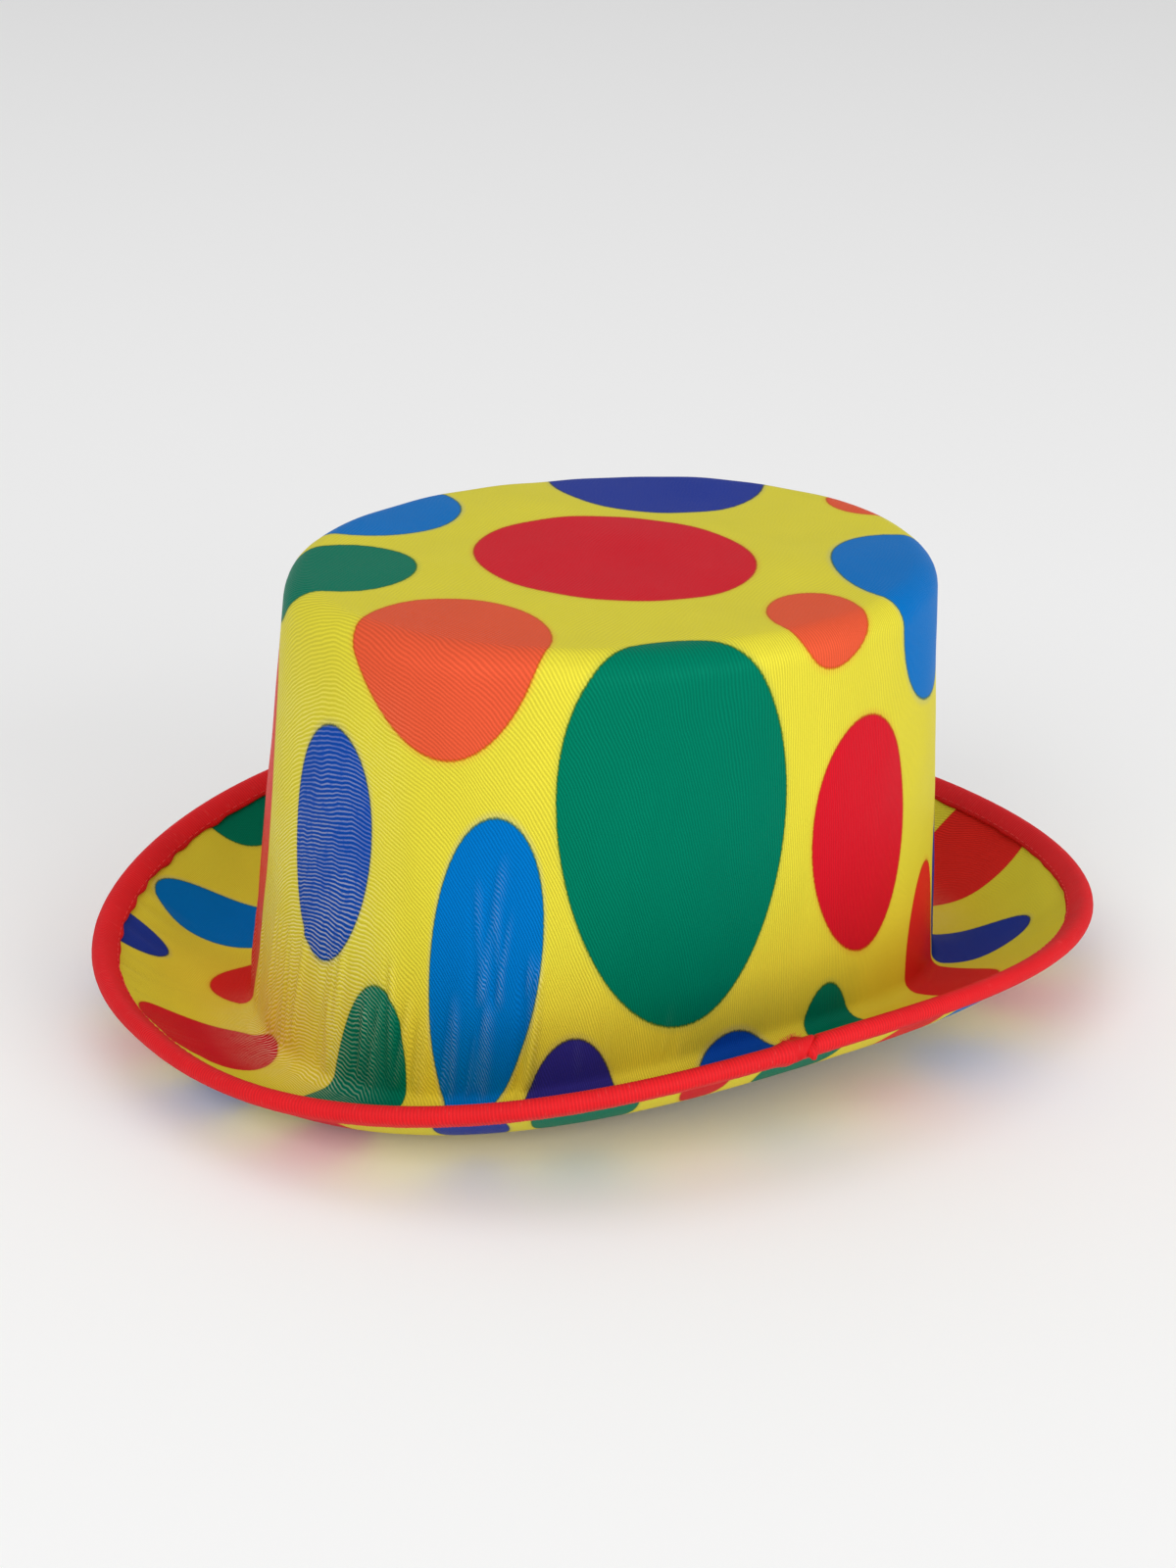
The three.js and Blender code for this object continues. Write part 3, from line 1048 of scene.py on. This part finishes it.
# %% Sweep the tape
# share of the leg from the rim, height above the sheet in mm
UPPER_LEG = [(1.0, 0.3), (0.985, 0.8), (0.93, 1.15), (0.78, 1.36), (0.55, 1.5), (0.27, 1.55), (0, 1.5)]
INNER_LEG = [(0.97, 0.12), (0.5, 0.12), (0, 0.12)]
LEG_SHARE = 0.35
ROUND_STEPS = 7
INNER_ROUND_STEPS = 2
RIB_HEIGHT = 0.14
EDGE_RIB_SHARE = 0.3
# wavelengths mm, size mm
UPPER_RAGGED = ((9.7, 15, 31, 46), 0.3)
LOOSE_RAGGED = ((9, 14, 27), 0.6)
LOWER_RAGGED = ((2.7, 9.1, 23, 57), 0.5)
RIB_WANDER = ((11, 29, 71), 0.35)
# the upper leg was sewn most loosely round the front left
LOOSE_PLACE = 0.66
LOOSE_LENGTH = 70
UPPER_WIDER = 0.1


def tape_row(travel, from_rim, around):
    """One row of the tape's base: its points, the way outwards and the way out of the sheet."""
    moved = travel - end_slant(around) * soft_step(travel, TAPE_LENGTH - TAPE_LAP, TAPE_LENGTH)
    return tape_base(tape_travel_to_turn(moved), from_rim)


def leg_rows(leg, travel, ragged, side):
    """Rows of one leg, from its inner edge to the rim: side 1 is the upper leg and -1 the lower one."""
    rows = []
    for share, height in leg:
        around = LEG_SHARE * (1 - share)
        if side < 0:
            around = 1 - around
        # only the upper leg curls, and mostly at its inner edge
        curl = edge_curl(travel) * share**4 * (side > 0)
        from_rim = share * (TAPE_LEG + ragged + CURL_WIDTH * curl)
        points, along, out = tape_row(travel, from_rim, around)
        shift = height * tape_fullness(travel, around) + tape_lift(travel) + CURL_HEIGHT * curl
        if side < 0:
            shift = -SHEET_THICKNESS - shift
        rows.append(points + out * column(shift))
    return rows


def round_rows(height, steps, travel):
    """Rows round the rim's edge, without the two that the legs already have."""
    rows = []
    for step in range(1, steps):
        around = LEG_SHARE + (1 - 2 * LEG_SHARE) * step / steps
        points, along, out = tape_row(travel, np.zeros(len(travel)), around)
        middle = points - out * SHEET_THICKNESS / 2
        radius = SHEET_THICKNESS / 2 + height * tape_fullness(travel, around) + tape_lift(travel)
        # the start's corner hangs out of the lower half only
        radius = radius + corner_drop(travel) * float(soft_step(around, 0.45, 0.55))
        swept = math.pi * step / steps
        rows.append(middle + column(radius) * (out * math.cos(swept) + along * math.sin(swept)))
    return rows


def tape_face(leg, travel, ragged_upper, ragged_lower, steps):
    """One face of the tape, from the upper leg's inner edge round the rim to the lower leg's."""
    upper = leg_rows(leg, travel, ragged_upper, 1)
    lower = leg_rows(leg, travel, ragged_lower, -1)
    return np.array(upper + round_rows(leg[-1][1], steps, travel) + lower[::-1])


def sweep_tape(travel):
    """Closed loops of points across the tape, one for each station of travel."""
    loose = np.exp(-(((travel - TAPE_LENGTH * LOOSE_PLACE) / LOOSE_LENGTH) ** 4))
    ragged_upper = slow_noise(travel, *UPPER_RAGGED) + UPPER_WIDER
    ragged_upper += slow_noise(travel, *LOOSE_RAGGED) * loose
    ragged_lower = slow_noise(travel, *LOWER_RAGGED)
    outer = tape_face(UPPER_LEG, travel, ragged_upper, ragged_lower, ROUND_STEPS)
    inner = tape_face(INNER_LEG, travel, ragged_upper, ragged_lower, INNER_ROUND_STEPS)
    before = np.roll(outer, 1, axis=0)
    after = np.roll(outer, -1, axis=0)
    out = unit(np.cross(np.gradient(outer, axis=1), after - before))
    wander = slow_noise(travel, *RIB_WANDER)
    rib = np.cos(FULL_TURN * (travel + wander) / TAPE_RIB_PITCH)
    fade = np.ones(len(outer))
    fade[[0, -1]] = EDGE_RIB_SHARE
    outer = outer - out * (RIB_HEIGHT / 2 * rib[None, :] * fade[:, None])[..., None]
    return np.concatenate([outer, inner[::-1]]), rib, len(outer)


tape_rows, tape_rib, outer_count = sweep_tape(tape_travel)
print("tape rows:", tape_rows.shape)


# %% Mesh of the tape
# mm of ribbon from one inner edge round the rim to the other
TAPE_FULL_WIDTH = 16


def make_tape():
    """One closed mesh, with the rib and the run along the tape kept for the material."""
    loop, stations = tape_rows.shape[:2]
    ids = np.arange(loop * stations).reshape(loop, stations)
    here = ids[:, :-1]
    ahead = ids[:, 1:]
    beside = np.roll(ids, -1, axis=0)
    quads = np.stack([here, beside[:, :-1], beside[:, 1:], ahead], axis=-1).reshape(-1, 4)
    caps = []
    for station, order in ((0, 1), (stations - 1, -1)):
        face = ids[:, station][::order]
        for step in range(1, loop - 1):
            caps.append((face[0], face[step + 1], face[step]))
    tape = mesh_object("bound_tape", tape_rows.reshape(-1, 3), quads, np.array(caps))
    add_attribute(tape, "rib", "FLOAT", np.broadcast_to(tape_rib, (loop, stations)))
    width_place = np.linspace(0, 1, outer_count)
    width_place = np.concatenate([width_place, np.linspace(1, 0, loop - outer_count)])
    along = np.broadcast_to(tape_travel, (loop, stations))
    across = np.broadcast_to(width_place[:, None] * TAPE_FULL_WIDTH, (loop, stations))
    run = np.stack([along, across, np.zeros((loop, stations))], axis=-1)
    add_attribute(tape, "run", "FLOAT_VECTOR", run)
    return tape


bound_tape = make_tape()
print("tape:", len(bound_tape.data.vertices), "points,", len(bound_tape.data.polygons), "faces")

# %% [markdown]
# ## Ribbon of the tape
#
# The ribbon is dyed right through. Its ribs are painted lighter on their crests and darker between,
# as painted highlight and painted shade. Single fibres lift off it, and a few pale fibres are painted
# in, partly as painted highlight where they catch the light. The run along the tape is stored with
# the mesh, so the weave follows the tape all the way round.

# %% Red ribbon
TAPE_RED = (228, 22, 30)
TAPE_SHADE = (172, 8, 18)
TAPE_LINT_AND_HIGHLIGHT = (240, 112, 104)
RIBBON_IOR = 1.28


def ribbon():
    nodes = Nodes("red_ribbon")
    run = nodes.attribute("run", "Vector")
    rib = nodes.attribute("rib", "Fac")
    # painted highlight on the rib crests and painted shade between them
    crest = nodes.step(rib, -0.9, 0.4, 1.0, 0.0)
    colour = nodes.mix(nodes.math("MULTIPLY_ADD", crest, 0.5, 0.5), paint(TAPE_SHADE), paint(TAPE_RED))
    thread = nodes.noise(nodes.squeezed(run, (3.4, 0.7, 1)), 1.0, 3.0, 0.65)
    colour = nodes.mix(nodes.step(thread, 0.35, 0.7, 0.0, 0.32), colour, paint(TAPE_RED))
    # pale streaks across the tape: partly pale fibres, partly painted highlight
    lint_and_highlight = nodes.noise(nodes.squeezed(run, (2.1, 0.35, 1)), 1.0, 2.0, 0.6)
    colour = nodes.mix(nodes.step(lint_and_highlight, 0.62, 0.78, 0.0, 0.35), colour, paint(TAPE_LINT_AND_HIGHLIGHT))
    slow = nodes.noise(run, 0.04, 2.0)
    colour = nodes.mix(nodes.step(slow, 0.3, 0.7, 0.0, 0.16), colour, paint(TAPE_SHADE))
    nodes.link(colour, nodes.shader.inputs["Base Color"])
    nodes.link(nodes.math("MULTIPLY_ADD", thread, 0.2, 0.52), nodes.shader.inputs["Roughness"])
    nodes.link(nodes.bump(thread, 0.0001, 0.6), nodes.shader.inputs["Normal"])
    nodes.shader.inputs["IOR"].default_value = RIBBON_IOR
    return nodes.material


ribbon_red = ribbon()
bound_tape.data.materials.append(ribbon_red)
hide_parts("brim_binding")
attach(bound_tape, "root")
print("ribbon ribs every", TAPE_RIB_PITCH, "mm")

# %% [markdown]
# ## Stitches
#
# One row of machine stitches in the tape's own red runs near its inner edge, from one side of the
# join round to the other. This is a shape repeated along a path, which is what Geometry Nodes do
# well: the path is a thin mesh line that carries the direction out of the tape, the tree spaces
# points along it, sets a short rounded stitch on each, turns it along the path and tilts it a little
# at random.

# %% Small helpers for geometry trees
class Growth:
    """A geometry tree with named sizes, grown on a path and kept as a plain mesh."""

    def __init__(self, name, sizes):
        self.name = name
        self.tree = bpy.data.node_groups.new(name, "GeometryNodeTree")
        self.tree.interface.new_socket("Geometry", in_out="INPUT", socket_type="NodeSocketGeometry")
        self.identifiers = {}
        for label, value in sizes.items():
            kind = "NodeSocketInt" if isinstance(value, int) else "NodeSocketFloat"
            socket = self.tree.interface.new_socket(label, in_out="INPUT", socket_type=kind)
            self.identifiers[label] = socket.identifier
        self.tree.interface.new_socket("Geometry", in_out="OUTPUT", socket_type="NodeSocketGeometry")
        self.sizes = sizes
        self.input = self.tree.nodes.new("NodeGroupInput")
        self.output = self.tree.nodes.new("NodeGroupOutput")

    def node(self, kind, settings=None, **inputs):
        """A node with its settings, and its inputs linked or set; an underscore stands for a space."""
        node = self.tree.nodes.new(kind)
        for name, value in (settings or {}).items():
            setattr(node, name, value)
        for name, value in inputs.items():
            wanted = name.replace("_", " ")
            socket = next(found for found in node.inputs if found.name == wanted and found.enabled)
            if isinstance(value, bpy.types.NodeSocket):
                self.tree.links.new(value, socket)
            else:
                socket.default_value = value
        return next(found for found in node.outputs if found.enabled)

    def facing(self, along, out):
        """A rotation with X along a path and Z out of the surface."""
        turned = self.node("FunctionNodeAlignRotationToVector", {"axis": "X"}, Vector=along)
        settings = {"axis": "Z", "pivot_axis": "X"}
        return self.node("FunctionNodeAlignRotationToVector", settings, Rotation=turned, Vector=out)

    def wobble(self, rotation, tilt, seed):
        """The rotation with a random tilt about all three axes, up to a given angle."""
        back = self.times(tilt, -1.0)
        low = self.node("ShaderNodeCombineXYZ", None, X=back, Y=back, Z=back)
        high = self.node("ShaderNodeCombineXYZ", None, X=tilt, Y=tilt, Z=tilt)
        settings = {"data_type": "FLOAT_VECTOR"}
        angles = self.node("FunctionNodeRandomValue", settings, Min=low, Max=high, Seed=seed)
        tilted = self.node("FunctionNodeEulerToRotation", None, Euler=angles)
        local = {"rotation_space": "LOCAL"}
        return self.node("FunctionNodeRotateRotation", local, Rotation=rotation, Rotate_By=tilted)

    def times(self, first, second):
        node = self.tree.nodes.new("ShaderNodeMath")
        node.operation = "MULTIPLY"
        for value, socket in zip((first, second), node.inputs):
            if isinstance(value, bpy.types.NodeSocket):
                self.tree.links.new(value, socket)
            else:
                socket.default_value = value
        return node.outputs[0]

    def along_path(self, item, shape, mode, **spacing):
        """The item set evenly along the path, turned along it and tilted a little at random."""
        size = self.input.outputs
        curve = self.node("GeometryNodeMeshToCurve", None, Mesh=size["Geometry"])
        spaced = self.node("GeometryNodeResampleCurve", {"mode": mode}, Curve=curve, **spacing)
        along = self.node("GeometryNodeInputTangent")
        out_of = self.node("GeometryNodeInputNamedAttribute", {"data_type": "FLOAT_VECTOR"}, Name="out")
        turned = self.wobble(self.facing(along, out_of), size["Tilt"], size["Seed"])
        return self.node("GeometryNodeInstanceOnPoints", None, Points=spaced, Instance=item,
                         Rotation=turned, Scale=shape)

    def grow(self, instances, path, material):
        """Ends the tree, runs it on the path and returns the result as a plain mesh object."""
        real = self.node("GeometryNodeRealizeInstances", None, Geometry=instances)
        smooth = self.node("GeometryNodeSetShadeSmooth", None, Geometry=real)
        painted = self.node("GeometryNodeSetMaterial", None, Geometry=smooth, Material=material)
        self.tree.links.new(painted, self.output.inputs[0])
        modifier = path.modifiers.new(self.name, "NODES")
        modifier.node_group = self.tree
        for label, value in self.sizes.items():
            modifier[self.identifiers[label]] = value
        view_layer = bpy.context.evaluated_depsgraph_get()
        mesh = bpy.data.meshes.new_from_object(path.evaluated_get(view_layer))
        path.modifiers.remove(modifier)
        bpy.data.objects.remove(path)
        mesh.name = self.name
        made = bpy.data.objects.new(self.name, mesh)
        bpy.context.scene.collection.objects.link(made)
        return made


def path_object(name, points, out):
    """A bare line of points in mm, with the direction out of the surface at each."""
    mesh = bpy.data.meshes.new(name)
    edges = [(index, index + 1) for index in range(len(points) - 1)]
    mesh.from_pydata((points * MM).tolist(), edges, [])
    path = bpy.data.objects.new(name, mesh)
    bpy.context.scene.collection.objects.link(path)
    add_attribute(path, "out", "FLOAT_VECTOR", out)
    return path


# %% Thread for the stitches
THREAD_RED = (208, 22, 30)
THREAD_SHINE = (232, 70, 66)
# features per metre of the object's own coordinates
TWIST_SCALE = 2600


def thread():
    nodes = Nodes("red_thread")
    place = nodes.tree.nodes.new("ShaderNodeTexCoord").outputs["Object"]
    twist = nodes.noise(place, TWIST_SCALE, 2.0)
    red = nodes.mix(twist, paint(THREAD_RED), paint(THREAD_SHINE))
    nodes.link(red, nodes.shader.inputs["Base Color"])
    nodes.link(nodes.math("MULTIPLY_ADD", twist, 0.2, 0.45), nodes.shader.inputs["Roughness"])
    nodes.link(nodes.bump(twist, 0.0001, 0.5), nodes.shader.inputs["Normal"])
    nodes.shader.inputs["Specular IOR Level"].default_value = 0.3
    return nodes.material


thread_red = thread()
print("thread red runs from", THREAD_RED, "to", THREAD_SHINE)

# %% Sew the tape
STITCH_PLACE = 0.8
STITCH_HEIGHT = 1.4
PATH_POINTS = 1500
STITCH_START = TAPE_LAP + 2
STITCH_END = TAPE_LENGTH - TAPE_LAP
STITCH_SIZES = {
    "Pitch": 3.1 * MM,
    "Length": 2.3 * MM,
    "Thickness": 0.34 * MM,
    "Tilt": 0.07,
    "Seed": 5,
}


def tape_surface_line(share, height, travel):
    """A line along the upper leg at a share of its width from the rim, with its outward directions."""
    turns = tape_travel_to_turn(travel)
    points, along, out = tape_base(turns, np.full(len(turns), share * TAPE_LEG))
    return points + out * column(height + tape_lift(travel)), out


def sew():
    growth = Growth("tape_stitches", STITCH_SIZES)
    size = growth.input.outputs
    travel = np.linspace(STITCH_START, STITCH_END, PATH_POINTS)
    points, out = tape_surface_line(STITCH_PLACE, STITCH_HEIGHT, travel)
    path = path_object("stitch_path", points, out)
    stitch = growth.node("GeometryNodeMeshUVSphere", None, Segments=8, Rings=4, Radius=0.5)
    thick = size["Thickness"]
    shape = growth.node("ShaderNodeCombineXYZ", None, X=size["Length"], Y=thick, Z=thick)
    placed = growth.along_path(stitch, shape, "LENGTH", Length=size["Pitch"])
    return growth.grow(placed, path, thread_red)


tape_stitches = sew()
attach(tape_stitches, "root")
print("stitches:", len(tape_stitches.data.polygons), "faces")

# %% [markdown]
# ## Frayed threads at the join
#
# The end of the tape was cut by hand and its upper edge curls up, with fine threads sticking out of
# it. They too grow from a short path, with a random length and lean for each.

# %% Fray the end
FRAY_SIZES = {
    "Threads": 44,
    "Length": 1.5 * MM,
    "Thickness": 0.16 * MM,
    "Tilt": 0.75,
    "Seed": 9,
}
FRAY_START = TAPE_LENGTH - 8
FRAY_END = TAPE_LENGTH - 0.2
FRAY_PLACE = 1.1
FRAY_HEIGHT = 0.5
FRAY_POINTS = 30


def fray():
    growth = Growth("frayed_threads", FRAY_SIZES)
    size = growth.input.outputs
    travel = np.linspace(FRAY_START, FRAY_END, FRAY_POINTS)
    points, out = tape_surface_line(FRAY_PLACE, FRAY_HEIGHT + CURL_HEIGHT * edge_curl(travel), travel)
    path = path_object("fray_path", points, out)
    strand = growth.node("GeometryNodeMeshCone", None, Vertices=5, Side_Segments=3, Radius_Top=0.2,
                         Radius_Bottom=0.5, Depth=1.0)
    number = {"data_type": "FLOAT"}
    vary = growth.node("FunctionNodeRandomValue", number, Min=0.4, Max=1.0, Seed=size["Seed"])
    length = growth.times(vary, size["Length"])
    thick = size["Thickness"]
    shape = growth.node("ShaderNodeCombineXYZ", None, X=thick, Y=thick, Z=length)
    placed = growth.along_path(strand, shape, "COUNT", Count=size["Threads"])
    return growth.grow(placed, path, thread_red)


frayed_threads = fray()
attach(frayed_threads, "root")
print("frayed threads:", len(frayed_threads.data.polygons), "faces")

# %% [markdown]
# ## Floor and studio light
#
# A pale floor that runs out of the picture, two large soft lights from the camera's left and right, a
# weak one from behind and above, a low one that reaches under the brim, and an even pale sky. The
# plain colour transform keeps the strong printed colours as strong as they are on the cloth.

# %% Floor
FLOOR_REACH = 6000
FLOOR_PAINT = (248, 248, 248)


def make_floor():
    corners = np.array([(-1, -1, 0), (1, -1, 0), (1, 1, 0), (-1, 1, 0)]) * FLOOR_REACH
    floor = mesh_object("floor", corners, np.array([(0, 1, 2, 3)]), np.empty((0, 3), int))
    nodes = Nodes("pale_floor")
    nodes.shader.inputs["Base Color"].default_value = paint(FLOOR_PAINT)
    nodes.shader.inputs["Roughness"].default_value = 0.9
    floor.data.materials.append(nodes.material)


make_floor()
print("floor reaches", FLOOR_REACH / 1000, "m each way")

# %% Lights
AIM_HEIGHT = 60
SKY_STRENGTH = 0.64

# name, mm to the camera's right, mm towards the camera, mm up, size mm, power in watts
LIGHTS = [
    ("key_light", -1300, 2500, 2000, 1600, 28),
    ("fill_light", 2400, 2200, 1000, 2200, 42),
    ("top_light", -300, -700, 3200, 2000, 8),
    ("low_light", 1100, 2700, 450, 1600, 13),
]


def area_light(name, right, back, up, size, power):
    """A square light that looks at the hat from a place given in the camera's own directions."""
    place = (level_right * right + level_back * back + Vector((0, 0, up))) * MM
    light = bpy.data.objects.new(name, bpy.data.lights.new(name, "AREA"))
    light.data.size = size * MM
    light.data.energy = power
    light.location = place
    aim = Vector((0, 0, AIM_HEIGHT * MM))
    light.rotation_euler = (aim - place).to_track_quat("-Z", "Y").to_euler()
    bpy.context.scene.collection.objects.link(light)


for row in LIGHTS:
    area_light(*row)
sky = bpy.data.worlds.new("pale_sky")
sky.use_nodes = True
sky.node_tree.nodes["Background"].inputs["Color"].default_value = (1, 1, 1, 1)
sky.node_tree.nodes["Background"].inputs["Strength"].default_value = SKY_STRENGTH
bpy.context.scene.world = sky
bpy.context.scene.view_settings.view_transform = "Standard"
print("lights:", len(LIGHTS), "and the sky")
